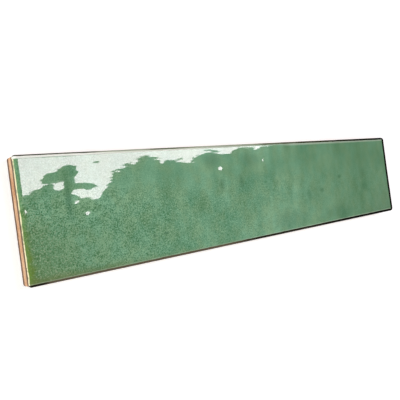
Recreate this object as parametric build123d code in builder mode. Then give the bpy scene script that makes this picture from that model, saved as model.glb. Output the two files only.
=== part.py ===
"""Glazed ceramic wall tile with a hand-made face, 250 x 50 mm, lying on its back with the glaze up."""

import os
from math import cos, exp, pi

from build123d import *

# Driving sizes in millimetres
LENGTH = 250.0
WIDTH = 50.0
FACE_HEIGHT = 8.4
CORNER_RADIUS = 1.9

# Glazed rim: the glaze rolls over the arris, runs down the side and ends in a lip over the biscuit
EDGE_ROLL = 1.6
GLAZE_DROP = 0.3
GLAZE_LIP = 0.2
LIP_ROUND = 0.15

# Biscuit
BACK_BEVEL = 0.6

# Keyed back: shallow recesses for the adhesive inside a flat margin
KEY_LENGTH = 19.0
KEY_WIDTH = 16.5
KEY_DEPTH = 0.7
KEY_CORNER = 2.0
KEY_DRAFT = 20.0
KEY_RIB = 4.0
BACK_MARGIN = 6.0

# Broad swell of the face: wavelength along, wavelength across, shift along, height
SWELLS = [
    (94.0, 67.0, 21.0, 0.04),
    (139.0, 41.0, 60.0, 0.03),
]

# Humps and hollows of the glaze: distance from the left end, from the middle line, height, spread
HUMPS = [
    (1.0, 6.5, 0.03, 3.2),
    (12.0, 19.0, 0.10, 3.4),
    (21.0, 22.0, 0.15, 3.5),
    (24.6, 5.0, 0.09, 2.6),
    (28.2, 12.6, 0.05, 2.4),
    (21.0, 19.5, 0.03, 3.0),
    (20.6, 9.6, -0.026, 2.4),
    (32.2, 2.0, 0.23, 4.5),
    (36.5, 9.0, 0.035, 3.0),
    (55.0, 24.5, 0.18, 7.0),
    (81.0, 15.0, 0.012, 3.4),
    (94.0, 26.0, 0.11, 6.0),
    (116.5, 27.5, 0.08, 4.5),
    (128.0, 18.5, 0.03, 3.5),
    (66.0, -9.0, -0.08, 8.0),
    (104.0, -14.0, 0.09, 8.0),
    (139.0, 4.0, -0.07, 8.0),
    (163.0, -12.0, 0.08, 7.5),
    (189.0, 11.0, 0.08, 8.0),
    (207.0, -7.0, -0.08, 7.0),
    (233.0, 7.0, 0.09, 8.0),
    (19.0, -13.0, -0.07, 6.5),
]

# Points that the face is drawn through: spacing, overhang past the rim, how near it passes, and its degree
FACE_STEP = 2.5
FACE_OVERHANG = 5.0
FACE_TOLERANCE = 0.005
FACE_DEGREE = 3

rim_height = FACE_HEIGHT - EDGE_ROLL - GLAZE_DROP
blank_height = FACE_HEIGHT + EDGE_ROLL


def face_level(x, y):
    """Height of the glazed face above the back."""
    level = FACE_HEIGHT
    for along, across, shift, height in SWELLS:
        level += height * cos(2 * pi * (x + shift) / along) * cos(2 * pi * y / across)
    for from_end, from_middle, height, spread in HUMPS:
        distance = (x + LENGTH / 2 - from_end) ** 2 + (y - from_middle) ** 2
        level += height * exp(-distance / (2 * spread**2))
    return level


def stations(span):
    """Evenly spaced places across a span, a little past both of its ends."""
    reach = span / 2 + FACE_OVERHANG
    count = round(2 * reach / FACE_STEP)
    return [-reach + 2 * reach * step / count for step in range(count + 1)]


def copies(span, size):
    """How many recesses fit in a span between the margins."""
    return int((span - 2 * BACK_MARGIN + KEY_RIB) / (size + KEY_RIB))


wavy_face = Face.make_surface_from_array_of_points(
    [[(x, y, face_level(x, y)) for y in stations(WIDTH)] for x in stations(LENGTH)],
    tol=FACE_TOLERANCE,
    min_deg=FACE_DEGREE,
    max_deg=FACE_DEGREE,
)

with BuildPart() as tile:
    # Biscuit, with the back edge bevelled
    with BuildSketch():
        RectangleRounded(LENGTH - 2 * GLAZE_LIP, WIDTH - 2 * GLAZE_LIP, CORNER_RADIUS - GLAZE_LIP)
    extrude(amount=rim_height)
    chamfer(tile.faces().sort_by(Axis.Z)[0].edges(), BACK_BEVEL)

    # Glazed top, cut to the wavy face and rolled over the arris
    with BuildSketch(Plane.XY.offset(rim_height)):
        RectangleRounded(LENGTH, WIDTH, CORNER_RADIUS)
    extrude(amount=blank_height - rim_height)
    extrude(wavy_face, amount=blank_height, dir=(0, 0, 1), mode=Mode.SUBTRACT)
    fillet(tile.faces().sort_by(Axis.Z)[-1].edges(), EDGE_ROLL)
    fillet(tile.faces().filter_by(Plane.XY).sort_by(Axis.Z)[-1].outer_wire().edges(), LIP_ROUND)

    # Keyed back
    with BuildSketch():
        with GridLocations(
            KEY_LENGTH + KEY_RIB,
            KEY_WIDTH + KEY_RIB,
            copies(LENGTH, KEY_LENGTH),
            copies(WIDTH, KEY_WIDTH),
        ):
            RectangleRounded(KEY_LENGTH, KEY_WIDTH, KEY_CORNER)
    extrude(amount=KEY_DEPTH, taper=KEY_DRAFT, mode=Mode.SUBTRACT)

tile.part.label = "tile"
os.makedirs("parts", exist_ok=True)
export_step(tile.part, "parts/tile.step")
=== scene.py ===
"""Studio scene of a glazed ceramic wall tile on its back, seen along its length from the left end."""

from functools import cached_property
from math import atan, cos, pi, radians, sin, tan

import bpy
import numpy as np
from mathutils import Matrix, Vector, noise


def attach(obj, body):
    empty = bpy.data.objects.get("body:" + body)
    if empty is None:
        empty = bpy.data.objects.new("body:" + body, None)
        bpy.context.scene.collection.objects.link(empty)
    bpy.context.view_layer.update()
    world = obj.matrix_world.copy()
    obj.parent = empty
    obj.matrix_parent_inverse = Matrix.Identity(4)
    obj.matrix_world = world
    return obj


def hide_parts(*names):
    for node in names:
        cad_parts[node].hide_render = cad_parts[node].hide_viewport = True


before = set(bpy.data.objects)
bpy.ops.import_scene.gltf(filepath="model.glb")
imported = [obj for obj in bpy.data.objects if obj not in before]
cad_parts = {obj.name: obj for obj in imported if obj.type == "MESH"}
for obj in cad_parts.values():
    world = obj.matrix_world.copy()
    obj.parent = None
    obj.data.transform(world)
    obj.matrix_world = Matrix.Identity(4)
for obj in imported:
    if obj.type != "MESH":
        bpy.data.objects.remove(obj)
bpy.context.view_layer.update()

# Metres in a millimetre
MM = 0.001

# Sizes of the tile in millimetres, as the solid has them but for sharper corners at the left end
LENGTH = 250.0
WIDTH = 50.0
FACE_HEIGHT = 8.4
CORNER_RADII = (1.2, 1.9)
EDGE_ROLL = 1.6
GLAZE_DROP = 0.3
GLAZE_LIP = 0.2
LIP_ROUND = 0.15
RIM_HEIGHT = FACE_HEIGHT - EDGE_ROLL - GLAZE_DROP
BACK_BEVEL = 0.6
KEY_LENGTH = 19.0
KEY_WIDTH = 16.5
KEY_DEPTH = 0.7
KEY_CORNER = 2.0
KEY_DRAFT = 20.0
KEY_RIB = 4.0
KEY_COLUMNS = 10
KEY_ROWS = 2

# Broad swell of the face: wavelength along, wavelength across, shift along, height
SWELLS = [
    (94.0, 67.0, 21.0, 0.04),
    (139.0, 41.0, 60.0, 0.03),
]

# Humps and hollows of the glaze: distance from the left end, from the middle line, height, spread
HUMPS = [
    (1.0, 6.5, 0.03, 3.2),
    (12.0, 19.0, 0.10, 3.4),
    (21.0, 22.0, 0.15, 3.5),
    (24.6, 5.0, 0.09, 2.6),
    (28.2, 12.6, 0.05, 2.4),
    (21.0, 19.5, 0.03, 3.0),
    (20.6, 9.6, -0.026, 2.4),
    (32.2, 2.0, 0.23, 4.5),
    (36.5, 9.0, 0.035, 3.0),
    (55.0, 24.5, 0.18, 7.0),
    (81.0, 15.0, 0.012, 3.4),
    (94.0, 26.0, 0.11, 6.0),
    (116.5, 27.5, 0.08, 4.5),
    (128.0, 18.5, 0.03, 3.5),
    (66.0, -9.0, -0.08, 8.0),
    (104.0, -14.0, 0.09, 8.0),
    (139.0, 4.0, -0.07, 8.0),
    (163.0, -12.0, 0.08, 7.5),
    (189.0, 11.0, 0.08, 8.0),
    (207.0, -7.0, -0.08, 7.0),
    (233.0, 7.0, 0.09, 8.0),
    (19.0, -13.0, -0.07, 6.5),
]

# Blisters and dimples of the glaze that are too slight for the solid: same four values
BLISTERS = [
    (1.9, 2.0, 0.085, 1.0),
    (8.3, 10.3, 0.022, 2.0),
    (16.4, 20.2, 0.02, 2.2),
    (16.5, 9.1, 0.055, 1.8),
    (22.5, 5.45, -0.075, 0.75),
    (25.0, 12.6, 0.014, 1.6),
    (26.7, 1.1, -0.19, 1.1),
    (31.6, 11.9, 0.014, 1.5),
    (31.9, 21.0, 0.042, 1.0),
    (34.3, 21.5, 0.042, 1.0),
    (51.8, 17.0, 0.025, 1.8),
    (66.2, 17.0, 0.014, 1.0),
    (77.0, 14.4, -0.014, 3.4),
    (100.3, 11.8, 0.085, 1.3),
    (103.0, 19.8, 0.014, 2.4),
    (109.5, 20.5, 0.012, 2.2),
    (130.9, 14.5, 0.1, 1.0),
]

# Ripple of the face: height, size of its cells, and the finer ripple's share, fineness and shift
RIPPLE_HEIGHT = 0.0012
RIPPLE_CELL = 5.0
FINER_SHARE = 0.5
FINER_TIMES = 2.3
FINER_SHIFT = 7.0

# How far the face is let down so that its ripple stays under the solid's highest point
FACE_EASE = 0.01

# Spacing of the mesh, steps round the rolled edge, round the glaze lip and down the biscuit, and the angle
# in degrees from which an edge is sharp
MESH_STEP = 0.7
ROLL_STEPS = 8
LIP_STEPS = 3
BISCUIT_STEPS = 6
SHARP_ANGLE = 35.0

# Material slots of the mesh
GLAZE, BISCUIT, RIM = range(3)

# Width of the matt rim at the left end, and of the line of painted shade along the others at the left and the
# right
BURNT_LEFT = 1.3
SHADE_LINE_RIGHT = (3.3, 3.3)
SHADE_LINE_BOTTOM = (0.95, 1.65)
SHADE_LINE_TOP = (0.6, 1.45)
BURNT_MARGIN = 0.4


def srgb(red, green, blue):
    """Linear colour from display values of 0 to 255."""
    shares = [value / 255 for value in (red, green, blue)]
    return tuple(s / 12.92 if s <= 0.04045 else ((s + 0.055) / 1.055) ** 2.4 for s in shares) + (1.0,)


# Uneven patterns of the glaze, with their scale in cells per metre
GRAIN = {"scale": 1900.0, "detail": 2.0, "distortion": 0.8}
BLOTCH = {"scale": 420.0, "detail": 2.0}
CLOUD = {"scale": 70.0, "detail": 3.0, "stretch": (1.6, 0.8, 1.0)}
DRIFT = {"scale": 26.0, "detail": 3.0}
HUE = {"scale": 120.0, "detail": 3.0, "stretch": (1.2, 1.0, 1.0)}
SPECKLE = {"scale": 1700.0, "detail": 0.0}
WANDER = {"scale": 320.0, "detail": 2.0}
ENGOBE_BREAKS = {"scale": 620.0, "detail": 1.0}
RIM_MOTTLE = {"scale": 700.0, "detail": 3.0}
FAINT = {"scale": 34.0, "detail": 1.0}
SHEEN = {"scale": 260.0, "detail": 2.0}
FRAY = {"scale": 430.0, "detail": 1.0, "stretch": (0.3, 1.0, 1.0)}

# A fade gives where it starts and where it ends, in millimetres for a place, then its share at either. A span
# gives only the first two, for a rise from none to all

# Mottle: strength of the grain and blotches along the tile and up it, then the tone that all patterns add to
GRAIN_FADE = (10.0, 85.0, 1.85, 0.6)
GRAIN_FAR_FADE = (100.0, 180.0, 1.0, 0.5)
BLOTCH_FADE = (22.0, 66.0, 0.58, 0.1)
CALM_FADE = (24.0, 38.0, 1.0, 0.3)
BASE_TONE = 0.27
CLOUD_TONE = 0.24
DRIFT_TONE = 0.22
TONE_SPAN = (0.28, 0.72)
HUE_SPAN = (0.36, 0.64)
DEEP_GREENS = (srgb(57, 115, 77), srgb(62, 113, 72))
LIGHT_GREENS = (srgb(139, 187, 153), srgb(145, 185, 147))

# Dark marks where the glaze pooled: from the left end, from the middle line, half length, half width, depth
MARKS = [
    (19.6, 6.5, 1.6, 9.5, 0.55),
    (57.1, -13.9, 1.0, 0.9, 0.6),
    (63.6, -13.5, 1.7, 0.7, 0.6),
    (95.6, 17.8, 6.0, 4.5, 0.4),
    (99.8, 5.1, 1.8, 3.5, 0.4),
    (113.2, 5.5, 1.5, 5.0, 0.35),
    (121.3, 16.4, 7.5, 4.5, 0.32),
    (145.5, -18.5, 15.0, 7.0, 0.3),
    (165.0, -6.0, 2.5, 3.0, 0.25),
    (176.7, -4.4, 2.0, 1.6, 0.45),
    (191.0, -19.0, 13.0, 5.0, 0.28),
    (194.7, 2.3, 2.0, 1.4, 0.5),
    (219.0, 3.0, 4.0, 4.5, 0.3),
    (219.0, -6.0, 4.0, 3.5, 0.25),
]

# Soft edge of a mark, in shares of its half size from the middle outward, and its colour
MARK_EDGE = (0.2, 1.3)
MARK_GREEN = srgb(46, 98, 69)

# Tints of the two ends and the two lower corners, with pale speckle in the left one. A corner's lean is how
# many times as far its tint reaches along the bottom as up the end
RIGHT_FADE = (130.0, 210.0, 0.0, 0.42)
RIGHT_GREEN = srgb(74, 116, 76)
RIGHT_CORNER_LEAN = 1.6
RIGHT_CORNER_FADE = (6.0, 56.0, 0.3, 0.0)
RIGHT_CORNER_GREEN = srgb(98, 116, 88)
LEFT_FADE = (0.0, 90.0, 0.52, 0.0)
LEFT_UPWARD_FADE = (14.0, 32.0, 1.0, 0.55)
LEFT_GREEN = srgb(78, 118, 78)
LEFT_CORNER_LEAN = 0.7
LEFT_CORNER_FADE = (3.0, 30.0, 0.45, 0.0)
LEFT_CORNER_GREEN = srgb(92, 118, 66)
SPECKLE_SPAN = (0.58, 0.7)
SPECKLE_FADE = (10.0, 46.0, 0.5, 0.0)
SPECKLE_GREEN = srgb(162, 180, 146)

# Olive where the glaze is thin at an edge: wander and lean of its inner side, fade inward, fade along the
# edge, colour
LEFT_OLIVE = (1.6, 0.05, (1.2, 4.4, 0.85, 0.0), (4.0, 42.0, 1.0, 0.4), srgb(98, 124, 44))
BOTTOM_OLIVE = (1.0, 0.02, (1.0, 5.0, 1.0, 0.0), (15.0, 70.0, 0.75, 0.45), srgb(100, 112, 64))
OLIVE_GRAIN = (-0.16, 0.16, 0.6, 1.1)

# Left end's rim: a brown line of painted shade above the lip and a broken cream one over it, by height above
# the back
LEFT_RIM_FADE = (0.8, 1.4, 1.0, 0.0)
BAND_WANDER = 0.2
LIP_SHADE_TOP = (7.1, 7.2)
CREAM_TOP = (7.68, 7.78)
CREAM_BREAKS = (0.36, 0.5, 0.45, 1.0)
LIP_SHADE_BAND = srgb(58, 33, 12)
BAND_CREAM = srgb(246, 236, 192)

# Pale lines of painted highlight beside the edges: reach in from the edge at the left and the right, then the
# fade along the tile
TOP_HIGHLIGHT_LINE = ((1.55, 1.5), (70.0, 150.0, 1.0, 0.3))
TOP_FAR_HIGHLIGHT_LINE = ((2.1, 2.3), (140.0, 160.0, 0.0, 0.2))
BOTTOM_HIGHLIGHT_LINE = ((1.35, 2.05), (70.0, 160.0, 0.12, 0.2))
HIGHLIGHT_EDGE = (-0.1, 0.1, 1.0, 0.0)
HIGHLIGHT_PALE = srgb(248, 249, 236)
HIGHLIGHT_OUTER = srgb(253, 254, 243)
HIGHLIGHT_INNER = srgb(234, 239, 227)
HIGHLIGHT_INNER_SPAN = (0.8, 1.4)
HIGHLIGHT_FAR = srgb(218, 225, 208)
HIGHLIGHT_FAR_SPAN = (25.0, 55.0)

# Dark lines on the edges, painted shade and dark reflection: black at the right, olive along the top and
# brown along the bottom
DARK_EDGE = (-0.1, 0.15, 1.0, 0.0)
DARK_WANDER = 0.15
EDGE_SHADE_BLACKS = (srgb(2, 3, 0), srgb(22, 20, 12))
TOP_SHADE_OLIVE = srgb(58, 62, 40)
TOP_SHADE_BLACK_SPAN = (165.0, 225.0)
# Stretches where the top's painted dark line gives way to a painted lit grey, where the highlight reaches the
# edge
TOP_LIT_STRETCHES = [(35.0, 61.0), (80.0, 130.0)]
TOP_LIT_EASE = 5.0
TOP_LIT_GREY = srgb(174, 181, 161)
TOP_FAINT_SPAN = (0.5, 0.62)
TOP_FAINT_FADE = (150.0, 190.0, 0.5, 0.0)
TOP_FAINT = srgb(134, 142, 116)
BOTTOM_SHADE_BROWN = srgb(92, 82, 66)
BOTTOM_SHADE_BLACK_FADES = [(98.0, 122.0, 0.0, 0.85), (5.0, 9.0, 0.9, 0.0), (165.0, 200.0, 0.0, 1.0)]

# Gloss: the glaze's roughness, refraction and height of its frayed ripple, and the rim's roughness and shine
GLAZE_ROUGHNESS = (0.3, 0.7, 0.015, 0.035)
GLAZE_REFRACTION = 1.5
FRAY_HEIGHT = 0.013
RIM_ROUGHNESS = (0.3, 0.7, 0.6, 0.8)
RIM_SHINE = 0.02

# Biscuit: patterns and their shares of its tone, painted shade by height above the back, and pitted surface
CLAY_STREAK = {"scale": 150.0, "detail": 3.0, "stretch": (0.8, 0.8, 3.0)}
CLAY_BLOTCH = {"scale": 110.0, "detail": 4.0}
CLAY_GRAIN = {"scale": 1400.0, "detail": 2.0}
CLAY_WANDER = {"scale": 260.0, "detail": 2.0}
STREAK_TONE = 0.3
BLOTCH_TONE = 0.35
GRAIN_TONE = 0.35
CLAY_SPAN = (0.36, 0.66)
CLAY_DEEP = srgb(196, 138, 92)
CLAY_LIGHT = srgb(240, 201, 162)
SHADE_LEVEL_WANDER = 0.4
PAINTED_SHADE_FADE = (0.4, 1.0, 0.85, 0.4)
LIP_SHADE_SPAN = (RIM_HEIGHT - 1.9, RIM_HEIGHT - 1.1)
LIP_SHADE_BROWN = srgb(88, 56, 30)
FOOT_SHADE_FADE = (1.9, 2.7, 1.0, 0.0)
FOOT_SHADE_UPRIGHT_FADE = (0.5, 0.9, 1.0, 0.0)
FOOT_SHADE_BROWN = srgb(66, 42, 36)
CLAY_ROUGHNESS = (0.2, 0.8, 0.75, 0.95)
PIT_STRENGTH = 0.6
PIT_DEPTH = 0.08

# Camera: place in millimetres, its right and up directions, and its focal length in pixels of the image
CAMERA_PLACE = (-187.8, -1.7, 194.8)
CAMERA_RIGHT = (0.77708, -0.13451, 0.61486)
CAMERA_UP = (0.1032, 0.99091, 0.08636)
CAMERA_FOCAL_PX = 500.9
IMAGE_PX = 400
SENSOR_WIDTH = 36.0
CLIP_START = 0.01

# Strip softbox overhead, in metres: the near edge that the glaze mirrors, its heading, size and power
STRIP_HEIGHT = 1.5
STRIP_EDGE = (0.386, 0.110)
STRIP_HEADING = 0.100
STRIP_REACH = (-0.08, 1.25)
STRIP_WIDTH = 0.25
STRIP_RADIANCE = 14.6
STRIP_COLOUR = (1.0, 0.885, 0.96)

# Soft fill from the left end's side, in metres, and the even surround
FILL_PLACE = (-0.75, -0.15, 0.60)
FILL_SIZE = 1.1
FILL_POWER = 8.8
FILL_COLOUR = (1.0, 1.0, 1.0)
WORLD_LEVEL = 0.22
WORLD_COLOUR = (0.97, 1.03, 1.0, 1.0)

# Floor and the backdrop round it, in metres; the floor's own glow grows away from the tile
FLOOR_HALF = 4.0
FLOOR_GAP = 0.00002
FLOOR_COLOUR = (0.84, 0.86, 0.84, 1.0)
FLOOR_GLOW = (0.4, 1.6, 0.36, 1.0)
BACKDROP_RADIUS = 4.0
BACKDROP_HEIGHT = 1.7
BACKDROP_SIDES = 64
BACKDROP_COLOUR = (0.85, 0.85, 0.85, 1.0)
WHITE = (1.0, 1.0, 1.0, 1.0)


def face_level(x, y):
    """Height of the glazed face above the back, in millimetres, for arrays of places."""
    level = np.full_like(x, FACE_HEIGHT - FACE_EASE)
    for along, across, shift, height in SWELLS:
        level += height * np.cos(2 * pi * (x + shift) / along) * np.cos(2 * pi * y / across)
    for from_end, from_middle, height, spread in HUMPS + BLISTERS:
        distance = (x + LENGTH / 2 - from_end) ** 2 + (y - from_middle) ** 2
        level += height * np.exp(-distance / (2 * spread**2))
    return level


def ripple(x, y):
    """Fine uneven ripple of the glaze, in millimetres, for arrays of places."""
    values = []
    for a, b in zip(x.ravel() / RIPPLE_CELL, y.ravel() / RIPPLE_CELL):
        finer = noise.noise((FINER_TIMES * a, FINER_TIMES * b, FINER_SHIFT))
        values.append(noise.noise((a, b, 0.0)) + FINER_SHARE * finer)
    return RIPPLE_HEIGHT * np.array(values).reshape(x.shape)


def grid_lines(span, key_size, key_count):
    """Places of the mesh lines along one direction: crowded on the rolled edge, and on each recess's wall."""
    half = span / 2
    angles = np.linspace(0, pi / 2, ROLL_STEPS + 1)
    edge = sorted([*EDGE_ROLL * (1 - np.cos(angles)), *CORNER_RADII])
    wall = KEY_DEPTH * tan(radians(KEY_DRAFT))
    stops = [-half + distance for distance in edge]
    for column in range(key_count):
        middle = (column - (key_count - 1) / 2) * (key_size + KEY_RIB)
        stops += [middle - key_size / 2, middle - key_size / 2 + wall]
        stops += [middle + key_size / 2 - wall, middle + key_size / 2]
    stops += [half - distance for distance in reversed(edge)]
    lines = [stops[0]]
    for start, end in zip(stops, stops[1:]):
        count = max(1, round((end - start) / MESH_STEP))
        lines += [start + (end - start) * step / count for step in range(1, count + 1)]
    return np.array(lines)


def plan(x, y, inset):
    """Places of the mesh lines on an outline drawn in by an inset, with its corners rounded."""
    corner = np.where(x < 0, *CORNER_RADII)
    out_x = np.clip((np.abs(x) - LENGTH / 2 + corner) / corner, 0, 1)
    out_y = np.clip((np.abs(y) - WIDTH / 2 + corner) / corner, 0, 1)
    reach = np.maximum(out_x, out_y)
    lesser = np.minimum(out_x, out_y)
    angle = pi / 4 * np.divide(lesser, reach, out=np.zeros_like(reach), where=reach > 0)
    angle = np.where(out_x >= out_y, angle, pi / 2 - angle)
    in_x = np.minimum(np.abs(x), LENGTH / 2 - corner)
    in_y = np.minimum(np.abs(y), WIDTH / 2 - corner)
    plan_x = in_x + (corner - inset) * reach * np.cos(angle)
    plan_y = in_y + (corner - inset) * reach * np.sin(angle)
    return np.sign(x) * plan_x, np.sign(y) * plan_y


def recess_depth(x, y):
    """How deep the keyed back is cut at a place."""
    def to_wall(place, size, count):
        pitch = size + KEY_RIB
        column = np.clip(np.round(place / pitch + (count - 1) / 2), 0, count - 1)
        return np.abs(place - (column - (count - 1) / 2) * pitch) - size / 2 + KEY_CORNER

    over_x = to_wall(x, KEY_LENGTH, KEY_COLUMNS)
    over_y = to_wall(y, KEY_WIDTH, KEY_ROWS)
    corner = np.hypot(np.maximum(over_x, 0), np.maximum(over_y, 0))
    inside = KEY_CORNER - corner - np.minimum(np.maximum(over_x, over_y), 0)
    return np.clip(inside / tan(radians(KEY_DRAFT)), 0, KEY_DEPTH)


def rim_loop(columns, rows):
    """Grid places round the border, anticlockwise from the corner at the lowest x and y."""
    loop = [(i, 0) for i in range(columns - 1)]
    loop += [(columns - 1, j) for j in range(rows - 1)]
    loop += [(i, rows - 1) for i in range(columns - 1, 0, -1)]
    loop += [(0, j) for j in range(rows - 1, 0, -1)]
    return tuple(np.array(loop).T)


def side_profile():
    """Inset and height of each ring of the side, from under the rolled edge down, and how many are glazed."""
    angles = np.linspace(0, pi / 2, LIP_STEPS + 1)
    lip = [(LIP_ROUND * (1 - cos(a)), RIM_HEIGHT + LIP_ROUND * (1 - sin(a))) for a in angles]
    side = [(GLAZE_LIP, height) for height in np.linspace(RIM_HEIGHT, BACK_BEVEL, BISCUIT_STEPS + 1)]
    return lip + side, len(lip)


def rim_width(ends, x):
    """How far in from the edge the matt rim reaches, for a place along the tile."""
    return ends[0] + (ends[1] - ends[0]) * (x / LENGTH + 0.5) + BURNT_MARGIN


def on_matt_rim(x, y):
    """Whether places of the glazed top lie on its matt rim."""
    matt = LENGTH / 2 + x < BURNT_LEFT
    matt |= LENGTH / 2 - x < rim_width(SHADE_LINE_RIGHT, x)
    matt |= WIDTH / 2 + y < rim_width(SHADE_LINE_BOTTOM, x)
    matt |= WIDTH / 2 - y < rim_width(SHADE_LINE_TOP, x)
    return matt


def points(x, y, z):
    """One row of x, y and z for each place."""
    return np.stack([x, y, z], -1).reshape(-1, 3)


def top_points(x, y):
    """The glazed face, with its waves, ripple and rolled edge."""
    from_edge = np.minimum(LENGTH / 2 - np.abs(x), WIDTH / 2 - np.abs(y))
    drop = EDGE_ROLL - np.sqrt(np.maximum(EDGE_ROLL**2 - np.maximum(EDGE_ROLL - from_edge, 0) ** 2, 0))
    top_x, top_y = plan(x, y, 0)
    return points(top_x, top_y, face_level(top_x, top_y) + ripple(top_x, top_y) - drop)


def back_points(x, y):
    """The back, with its recesses, inside the bevel."""
    back_x, back_y = plan(x, y, GLAZE_LIP + BACK_BEVEL)
    return points(back_x, back_y, recess_depth(back_x, back_y))


def tile_mesh():
    """The whole tile as one closed mesh: rolled and wavy glazed face, biscuit sides, keyed back."""
    xs = grid_lines(LENGTH, KEY_LENGTH, KEY_COLUMNS)
    ys = grid_lines(WIDTH, KEY_WIDTH, KEY_ROWS)
    x, y = np.meshgrid(xs, ys, indexing="ij")
    loop = rim_loop(*x.shape)
    rings, glazed_rings = side_profile()
    places = [top_points(x, y)]
    for inset, height in rings:
        side_x, side_y = plan(x[loop], y[loop], inset)
        places.append(points(side_x, side_y, np.full_like(side_x, height)))
    places.append(back_points(x, y))
    places = np.concatenate(places)

    grid = np.arange(x.size).reshape(x.shape)
    border = grid[loop]
    back_start = x.size + len(rings) * border.size
    levels = [border]
    levels += [x.size + ring * border.size + np.arange(border.size) for ring in range(len(rings))]
    levels.append(border + back_start)
    top = np.stack([grid[:-1, :-1], grid[1:, :-1], grid[1:, 1:], grid[:-1, 1:]], -1).reshape(-1, 4)
    sides = []
    for upper, lower in zip(levels, levels[1:]):
        sides.append(np.stack([lower, np.roll(lower, -1), np.roll(upper, -1), upper], -1))
    back = top[:, ::-1] + back_start
    faces = np.concatenate([top, *sides, back])

    kinds = np.full(len(faces), BISCUIT)
    kinds[: len(top) + glazed_rings * border.size] = GLAZE
    face_x, face_y, _ = places[top].mean(1).T
    kinds[: len(top)][on_matt_rim(face_x, face_y)] = RIM

    mesh = bpy.data.meshes.new("tile_glazed")
    mesh.from_pydata((places * MM).tolist(), [], faces.tolist())
    mesh.polygons.foreach_set("material_index", kinds)
    mesh.shade_smooth()
    mesh.set_sharp_from_angle(angle=radians(SHARP_ANGLE))
    mesh.validate()
    return mesh


# Places of a colour mix's share and two colours among its inputs, and of its result among its outputs
MIX_SHARE = 0
MIX_FIRST = 6
MIX_SECOND = 7
MIX_RESULT = 2


class Nodes:
    """A material's node tree, with short calls to add and join nodes."""

    def __init__(self, name):
        self.material = bpy.data.materials.new(name)
        self.material.use_nodes = True
        self.tree = self.material.node_tree
        self.shader = self.tree.nodes["Principled BSDF"]

    @cached_property
    def place(self):
        """The place on the object, in metres."""
        return self.add("ShaderNodeTexCoord").outputs["Object"]

    def add(self, kind, inputs=(), **settings):
        """A new node, with its inputs set or joined."""
        node = self.tree.nodes.new(kind)
        for key, value in settings.items():
            setattr(node, key, value)
        for key, value in dict(inputs).items():
            self.set(node.inputs[key], value)
        return node

    def set(self, socket, value):
        """Joins a socket to another, or sets it to a plain value."""
        if isinstance(value, bpy.types.NodeSocket):
            self.tree.links.new(value, socket)
        else:
            socket.default_value = value

    def shade(self, inputs):
        """Sets or joins inputs of the shader."""
        for key, value in inputs.items():
            self.set(self.shader.inputs[key], value)

    def math(self, operation, *values, clamp=False):
        """The result of one step of arithmetic."""
        return self.add("ShaderNodeMath", enumerate(values), operation=operation, use_clamp=clamp).outputs[0]

    def vector(self, operation, *values):
        """A node for one step of vector arithmetic."""
        return self.add("ShaderNodeVectorMath", enumerate(values), operation=operation)

    def product(self, first, *others):
        """All the values multiplied."""
        for other in others:
            first = self.math("MULTIPLY", first, other)
        return first

    def ramp(self, value, low, high, start=0.0, end=1.0):
        """A smooth step from start to end as the value goes from low to high."""
        inputs = {"Value": value, "From Min": low, "From Max": high, "To Min": start, "To Max": end}
        return self.add("ShaderNodeMapRange", inputs, interpolation_type="SMOOTHSTEP").outputs["Result"]

    def mix(self, share, first, second):
        """The first colour, with a share of the second."""
        inputs = {MIX_SHARE: share, MIX_FIRST: first, MIX_SECOND: second}
        return self.add("ShaderNodeMix", inputs, data_type="RGBA").outputs[MIX_RESULT]

    def noise(self, scale, detail, stretch=None, distortion=0.0):
        """Noise of about 0 to 1, with its scale in cells per metre."""
        place = self.place
        if stretch:
            place = self.add("ShaderNodeMapping", {"Vector": place, "Scale": stretch}).outputs[0]
        inputs = {"Vector": place, "Scale": scale, "Detail": detail, "Distortion": distortion}
        return self.add("ShaderNodeTexNoise", inputs).outputs[0]

    def swing(self, reach, pattern):
        """Noise about zero, as far as the reach to either side."""
        return self.math("MULTIPLY_ADD", self.noise(**pattern), 2 * reach, -reach)

    def bump(self, strength, height, pattern):
        """A surface raised by a pattern, up to a height in millimetres."""
        inputs = {"Strength": strength, "Distance": height * MM, "Height": pattern}
        return self.add("ShaderNodeBump", inputs).outputs[0]


class TileNodes(Nodes):
    """Nodes of one of the tile's materials, with distances from its edges and its back in millimetres."""

    def __init__(self, name):
        super().__init__(name)
        x, y, z = self.add("ShaderNodeSeparateXYZ", {0: self.place}).outputs
        self.from_left = self.math("MULTIPLY_ADD", x, 1 / MM, LENGTH / 2)
        self.from_right = self.math("SUBTRACT", LENGTH, self.from_left)
        self.from_bottom = self.math("MULTIPLY_ADD", y, 1 / MM, WIDTH / 2)
        self.from_top = self.math("SUBTRACT", WIDTH, self.from_bottom)
        self.height = self.math("MULTIPLY", z, 1 / MM)

    @cached_property
    def grain(self):
        """Fine grain of the glaze, about zero."""
        return self.swing(0.5, GRAIN)

    @cached_property
    def wander(self):
        """How the lines and edges of the glaze wander, from about -1 to 1."""
        return self.swing(1.0, WANDER)

    def taper(self, ends):
        """A value that goes evenly from the left end's to the right end's."""
        return self.math("MULTIPLY_ADD", self.from_left, (ends[1] - ends[0]) / LENGTH, ends[0])


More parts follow.
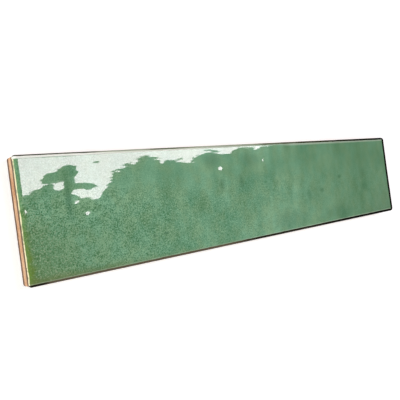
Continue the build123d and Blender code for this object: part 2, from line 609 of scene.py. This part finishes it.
def mottle(n):
    """Green in fine grain and blotches, strongest at the left and calm near the top, over broad clouds."""
    calm = n.ramp(n.from_bottom, *CALM_FADE)
    grain_strength = n.product(n.ramp(n.from_left, *GRAIN_FADE), n.ramp(n.from_left, *GRAIN_FAR_FADE), calm)
    blotch_strength = n.product(n.ramp(n.from_left, *BLOTCH_FADE), calm)
    tone = n.math("MULTIPLY_ADD", n.grain, grain_strength, BASE_TONE)
    tone = n.math("MULTIPLY_ADD", n.swing(0.5, BLOTCH), blotch_strength, tone)
    tone = n.math("MULTIPLY_ADD", n.noise(**CLOUD), CLOUD_TONE, tone)
    tone = n.math("MULTIPLY_ADD", n.noise(**DRIFT), DRIFT_TONE, tone)
    warm = n.ramp(n.noise(**HUE), *HUE_SPAN)
    deep = n.mix(warm, *DEEP_GREENS)
    light = n.mix(warm, *LIGHT_GREENS)
    return n.mix(n.ramp(tone, *TONE_SPAN), deep, light)


def add_marks(n, colour):
    """Soft dark marks where the glaze pooled."""
    for from_end, from_middle, half_length, half_width, depth in MARKS:
        centre = ((from_end - LENGTH / 2) * MM, from_middle * MM, FACE_HEIGHT * MM)
        scale = (1 / (half_length * MM), 1 / (half_width * MM), 0.0)
        offset = n.vector("SUBTRACT", n.place, centre).outputs[0]
        offset = n.vector("MULTIPLY", offset, scale).outputs[0]
        distance = n.vector("LENGTH", offset).outputs["Value"]
        colour = n.mix(n.ramp(distance, *MARK_EDGE, depth, 0.0), colour, MARK_GREEN)
    return colour


def add_tints(n, colour):
    """Duller green towards the ends and the lower corners, speckled at the left."""
    right_corner = n.math("MULTIPLY_ADD", n.from_bottom, RIGHT_CORNER_LEAN, n.from_right)
    left_corner = n.math("MULTIPLY_ADD", n.from_bottom, LEFT_CORNER_LEAN, n.from_left)
    left = n.product(n.ramp(n.from_left, *LEFT_FADE), n.ramp(n.from_bottom, *LEFT_UPWARD_FADE))
    speckle = n.product(n.ramp(n.noise(**SPECKLE), *SPECKLE_SPAN), n.ramp(left_corner, *SPECKLE_FADE))
    colour = n.mix(n.ramp(n.from_left, *RIGHT_FADE), colour, RIGHT_GREEN)
    colour = n.mix(n.ramp(right_corner, *RIGHT_CORNER_FADE), colour, RIGHT_CORNER_GREEN)
    colour = n.mix(left, colour, LEFT_GREEN)
    colour = n.mix(n.ramp(left_corner, *LEFT_CORNER_FADE), colour, LEFT_CORNER_GREEN)
    return n.mix(speckle, colour, SPECKLE_GREEN)


def add_olive_edges(n, colour):
    """Olive where the glaze is thin, along the left end and the bottom edge."""
    uneven = n.ramp(n.grain, *OLIVE_GRAIN)
    edges = [(n.from_left, n.from_bottom, LEFT_OLIVE), (n.from_bottom, n.from_left, BOTTOM_OLIVE)]
    for inward, lengthwise, (wander, lean, inward_fade, lengthwise_fade, olive) in edges:
        reach = n.math("MULTIPLY_ADD", n.wander, wander, inward)
        reach = n.math("MULTIPLY_ADD", lengthwise, lean, reach)
        share = n.product(n.ramp(reach, *inward_fade), n.ramp(lengthwise, *lengthwise_fade))
        colour = n.mix(n.math("MULTIPLY", share, uneven, clamp=True), colour, olive)
    return colour


def add_left_rim(n, colour):
    """Brown line of painted shade above the lip of the left end, and a broken line of cream engobe over it.
    """
    level = n.math("MULTIPLY_ADD", n.wander, BAND_WANDER, n.height)
    at_left = n.ramp(n.from_left, *LEFT_RIM_FADE)
    brown = n.product(n.ramp(level, *LIP_SHADE_TOP, 1.0, 0.0), at_left)
    cream = n.product(n.ramp(level, *LIP_SHADE_TOP), n.ramp(level, *CREAM_TOP, 1.0, 0.0))
    cream = n.product(cream, n.ramp(n.noise(**ENGOBE_BREAKS), *CREAM_BREAKS), at_left)
    colour = n.mix(brown, colour, LIP_SHADE_BAND)
    return n.mix(cream, colour, BAND_CREAM)


def add_painted_edge_highlights(n, colour):
    """Pale lines of painted highlight on the rolled glaze beside the top and bottom edges."""
    # Painted highlight: near white at the edge, greyer inward and further along the tile
    cream = n.mix(n.ramp(n.from_top, *HIGHLIGHT_INNER_SPAN), HIGHLIGHT_OUTER, HIGHLIGHT_INNER)
    cream = n.mix(n.ramp(n.from_left, *HIGHLIGHT_FAR_SPAN), cream, HIGHLIGHT_FAR)
    lines = [
        (n.from_top, TOP_HIGHLIGHT_LINE, cream),
        (n.from_top, TOP_FAR_HIGHLIGHT_LINE, HIGHLIGHT_PALE),
        (n.from_bottom, BOTTOM_HIGHLIGHT_LINE, HIGHLIGHT_PALE),
    ]
    for distance, (ends, fade), tint in lines:
        inside = n.math("SUBTRACT", distance, n.taper(ends))
        colour = n.mix(n.product(n.ramp(inside, *HIGHLIGHT_EDGE), n.ramp(n.from_left, *fade)), colour, tint)
    return colour


def add_painted_edge_shade(n, colour):
    """Dark lines on the arrises, painted shade and dark reflection: olive along the top with stretches
    painted lit grey, brown along the bottom, black at the right.
    """
    # Painted dark reflection and shade, black at the right end and in parts of the top and bottom lines
    black = n.mix(n.noise(**RIM_MOTTLE), *EDGE_SHADE_BLACKS)
    top = n.mix(n.ramp(n.from_left, *TOP_SHADE_BLACK_SPAN), TOP_SHADE_OLIVE, black)
    for start, end in TOP_LIT_STRETCHES:
        begun = n.ramp(n.from_left, start - TOP_LIT_EASE, start + TOP_LIT_EASE)
        ended = n.ramp(n.from_left, end - TOP_LIT_EASE, end + TOP_LIT_EASE, 1.0, 0.0)
        top = n.mix(n.product(begun, ended), top, TOP_LIT_GREY)
    faint = n.product(n.ramp(n.noise(**FAINT), *TOP_FAINT_SPAN), n.ramp(n.from_left, *TOP_FAINT_FADE))
    top = n.mix(faint, top, TOP_FAINT)
    bottom = BOTTOM_SHADE_BROWN
    for fade in BOTTOM_SHADE_BLACK_FADES:
        bottom = n.mix(n.ramp(n.from_left, *fade), bottom, black)
    lines = [
        (n.from_top, SHADE_LINE_TOP, top),
        (n.from_bottom, SHADE_LINE_BOTTOM, bottom),
        (n.from_right, SHADE_LINE_RIGHT, black),
    ]
    for distance, ends, line in lines:
        inside = n.math("SUBTRACT", distance, n.taper(ends))
        inside = n.math("MULTIPLY_ADD", n.wander, DARK_WANDER, inside)
        colour = n.mix(n.ramp(inside, *DARK_EDGE), colour, line)
    return colour


def glaze_colour(n):
    """Mottled green that thins to olive at the left end, with cream engobe there, and painted highlight and
    painted shade on its rims.
    """
    colour = mottle(n)
    for layer in (add_marks, add_tints, add_olive_edges, add_left_rim, add_painted_edge_highlights, add_painted_edge_shade):
        colour = layer(n, colour)
    return colour


def glaze_material():
    """Glossy glaze, with a faint lengthwise ripple that frays the edges of what it mirrors."""
    n = TileNodes("green_glaze")
    n.shade({
        "Base Color": glaze_colour(n),
        "Roughness": n.ramp(n.noise(**SHEEN), *GLAZE_ROUGHNESS),
        "IOR": GLAZE_REFRACTION,
        "Normal": n.bump(1.0, FRAY_HEIGHT, n.noise(**FRAY)),
    })
    return n.material


def rim_material():
    """Matt rim: the same colours, with the painted shade and painted highlight of the edges, matt where the
    glaze has drawn back from the arris.
    """
    n = TileNodes("rim_with_painted_shade")
    n.shade({
        "Base Color": glaze_colour(n),
        "Roughness": n.ramp(n.noise(**RIM_MOTTLE), *RIM_ROUGHNESS),
        "Specular IOR Level": RIM_SHINE,
    })
    return n.material


def biscuit_material():
    """Bare red clay: blotched and grainy, with painted shade under the glaze lip and along the back edge,
    most at the left.
    """
    n = TileNodes("red_biscuit")
    grain = n.noise(**CLAY_GRAIN)
    tone = n.math("MULTIPLY", n.noise(**CLAY_STREAK), STREAK_TONE)
    tone = n.math("MULTIPLY_ADD", grain, GRAIN_TONE, tone)
    tone = n.math("MULTIPLY_ADD", n.noise(**CLAY_BLOTCH), BLOTCH_TONE, tone)
    level = n.math("ADD", n.height, n.swing(SHADE_LEVEL_WANDER, CLAY_WANDER))
    shade_strength = n.ramp(n.from_left, *PAINTED_SHADE_FADE)
    normal = n.add("ShaderNodeTexCoord").outputs["Normal"]
    upright = n.math("ABSOLUTE", n.add("ShaderNodeSeparateXYZ", {0: normal}).outputs[2])
    # Painted shade at the foot of the upright sides and under the glaze lip
    foot = n.product(n.ramp(level, *FOOT_SHADE_FADE), n.ramp(upright, *FOOT_SHADE_UPRIGHT_FADE), shade_strength)
    clay = n.mix(n.ramp(tone, *CLAY_SPAN), CLAY_DEEP, CLAY_LIGHT)
    clay = n.mix(n.product(n.ramp(level, *LIP_SHADE_SPAN), shade_strength), clay, LIP_SHADE_BROWN)
    n.shade({
        "Base Color": n.mix(foot, clay, FOOT_SHADE_BROWN),
        "Roughness": n.ramp(grain, *CLAY_ROUGHNESS),
        "Normal": n.bump(PIT_STRENGTH, PIT_DEPTH, grain),
    })
    return n.material


def seen_directly(n):
    """1 for what the camera, a reflection or a clear surface shows, and 0 for scattered light."""
    path = n.add("ShaderNodeLightPath")
    shown = n.math("MAXIMUM", path.outputs["Is Camera Ray"], path.outputs["Is Glossy Ray"])
    return n.math("MAXIMUM", shown, path.outputs["Is Transmission Ray"])


def link(name, data):
    """A new object in the scene."""
    thing = bpy.data.objects.new(name, data)
    bpy.context.scene.collection.objects.link(thing)
    return thing


def make_floor():
    """Pale floor that shows white and keeps the tile's shadow."""
    n = Nodes("white_floor")
    distance = n.vector("LENGTH", n.place).outputs["Value"]
    n.shade({
        "Base Color": FLOOR_COLOUR,
        "Roughness": 1.0,
        "Specular IOR Level": 0.0,
        "Emission Color": WHITE,
        "Emission Strength": n.product(seen_directly(n), n.ramp(distance, *FLOOR_GLOW)),
    })
    half = FLOOR_HALF
    mesh = bpy.data.meshes.new("floor")
    corners = [(-half, -half, 0), (half, -half, 0), (half, half, 0), (-half, half, 0)]
    mesh.from_pydata(corners, [], [(0, 1, 2, 3)])
    mesh.materials.append(n.material)
    floor = link("floor", mesh)
    floor.location.z = -FLOOR_GAP


def make_backdrop():
    """Low white wall round the floor, for views near the horizon."""
    n = Nodes("white_backdrop")
    n.shade({
        "Base Color": BACKDROP_COLOUR,
        "Specular IOR Level": 0.0,
        "Emission Color": WHITE,
        "Emission Strength": seen_directly(n),
    })
    angles = np.arange(BACKDROP_SIDES) * 2 * pi / BACKDROP_SIDES
    ring = np.stack([np.cos(angles), np.sin(angles)], -1) * BACKDROP_RADIUS
    corners = [(x, y, z) for z in (0.0, BACKDROP_HEIGHT) for x, y in ring]
    sides = [(k, (k + 1) % BACKDROP_SIDES) for k in range(BACKDROP_SIDES)]
    mesh = bpy.data.meshes.new("backdrop")
    mesh.from_pydata(corners, [], [(a, b, b + BACKDROP_SIDES, a + BACKDROP_SIDES) for a, b in sides])
    mesh.materials.append(n.material)
    backdrop = link("backdrop", mesh)


def make_world():
    """Even surround that adds a plain level of light."""
    world = bpy.data.worlds.new("studio")
    world.use_nodes = True
    background = world.node_tree.nodes["Background"]
    background.inputs["Color"].default_value = WORLD_COLOUR
    background.inputs["Strength"].default_value = WORLD_LEVEL
    bpy.context.scene.world = world


def area_light(name, size_x, size_y, power, colour, matrix):
    """A flat rectangular softbox."""
    light = bpy.data.lights.new(name, "AREA")
    light.color = colour
    light.shape = "RECTANGLE"
    light.size = size_x
    light.size_y = size_y
    light.energy = power
    link(name, light).matrix_world = matrix


def make_lights():
    """A level strip softbox overhead, whose near edge the glaze mirrors, and a large soft fill."""
    turn = Matrix.Rotation(atan(STRIP_HEADING), 4, "Z")
    length = STRIP_REACH[1] - STRIP_REACH[0]
    middle = turn @ Vector((sum(STRIP_REACH) / 2, STRIP_WIDTH / 2, 0.0))
    place = Vector((*STRIP_EDGE, STRIP_HEIGHT)) + middle
    power = STRIP_RADIANCE * pi * length * STRIP_WIDTH
    area_light("strip_softbox", length, STRIP_WIDTH, power, STRIP_COLOUR, Matrix.Translation(place) @ turn)
    place = Vector(FILL_PLACE)
    aim = Matrix.Translation(place) @ place.to_track_quat("Z", "Y").to_matrix().to_4x4()
    area_light("fill_softbox", FILL_SIZE, FILL_SIZE, FILL_POWER, FILL_COLOUR, aim)


def make_camera():
    """The photograph's camera: left of the tile, above it and looking along its length."""
    right, up = Vector(CAMERA_RIGHT), Vector(CAMERA_UP)
    turn = Matrix((right, up, right.cross(up))).transposed().to_4x4()
    data = bpy.data.cameras.new("camera")
    data.sensor_width = SENSOR_WIDTH
    data.lens = SENSOR_WIDTH * CAMERA_FOCAL_PX / IMAGE_PX
    data.clip_start = CLIP_START
    camera = link("camera", data)
    camera.matrix_world = Matrix.Translation(Vector(CAMERA_PLACE) * MM) @ turn
    bpy.context.scene.camera = camera


tile = link("tile_glazed", tile_mesh())
tile.data.materials.append(glaze_material())
tile.data.materials.append(biscuit_material())
tile.data.materials.append(rim_material())
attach(tile, "root")
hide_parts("tile")

make_floor()
make_backdrop()
make_world()
make_lights()
make_camera()
bpy.context.scene.view_settings.view_transform = "Standard"
